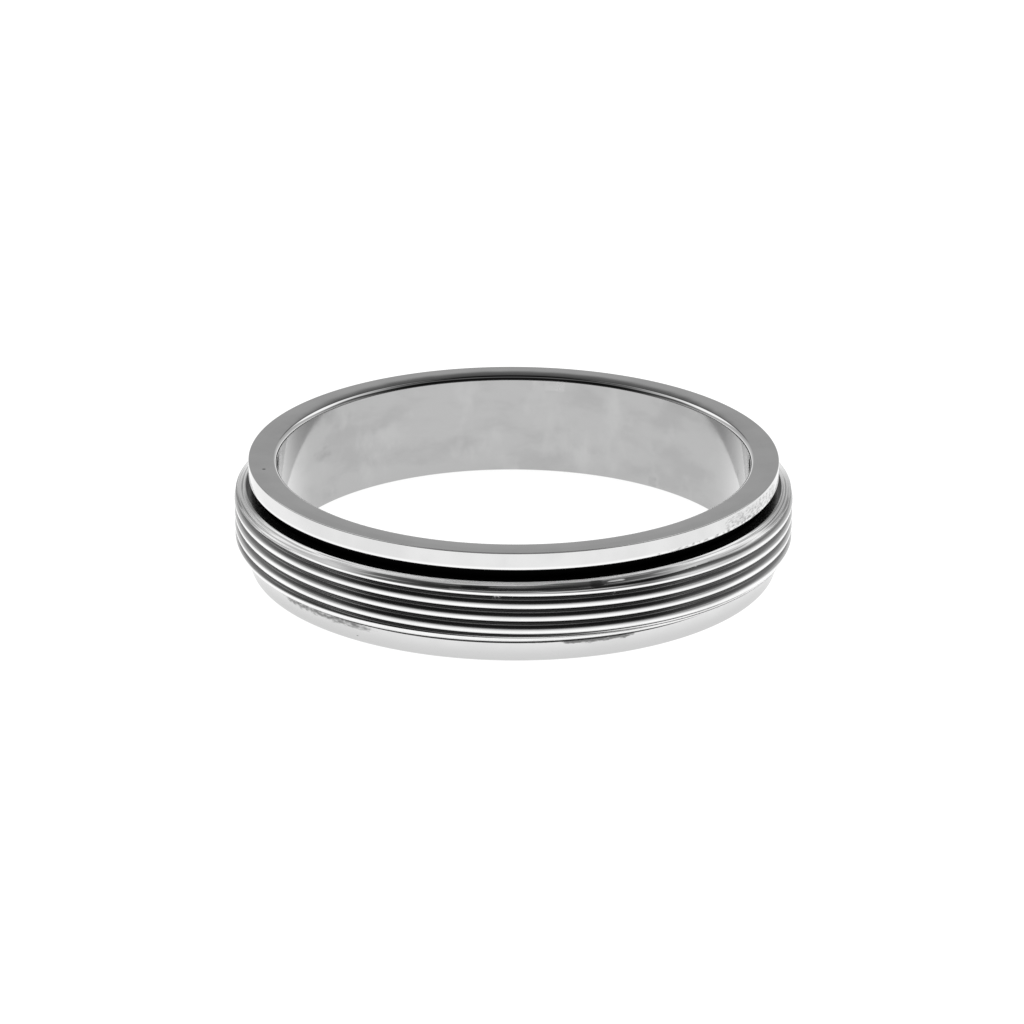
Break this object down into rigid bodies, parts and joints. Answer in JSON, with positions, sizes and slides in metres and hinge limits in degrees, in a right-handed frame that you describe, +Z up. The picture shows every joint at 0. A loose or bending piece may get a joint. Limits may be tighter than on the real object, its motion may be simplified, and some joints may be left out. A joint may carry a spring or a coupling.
{
  "type": "spinner ring",
  "caption": "Polished silver spinner ring: a flanged finger band whose channel holds an outer ribbed band that turns freely.",
  "frame": {"origin": "middle of the flat lower face that the ring rests on", "axes": "+Z up along the ring's axis, -Y towards the pictured front, +X to the right in the picture"},
  "size_m": [0.0224, 0.0224, 0.0044],
  "materials": {
    "band_silver": "polished sterling silver with light tarnish on the flanges",
    "spinner_silver": "bright polished sterling silver"
  },
  "bodies": {
    "finger_band": {"base_band": "band_silver"},
    "spinner": {"spinner_band": "spinner_silver"}
  },
  "joints": [
    {"name": "spinner_spin", "type": "hinge", "parent": "finger_band", "child": "spinner", "pos_m": [0, 0, 0.00213], "axis": [0, 0, 1], "continuous": true}
  ]
}
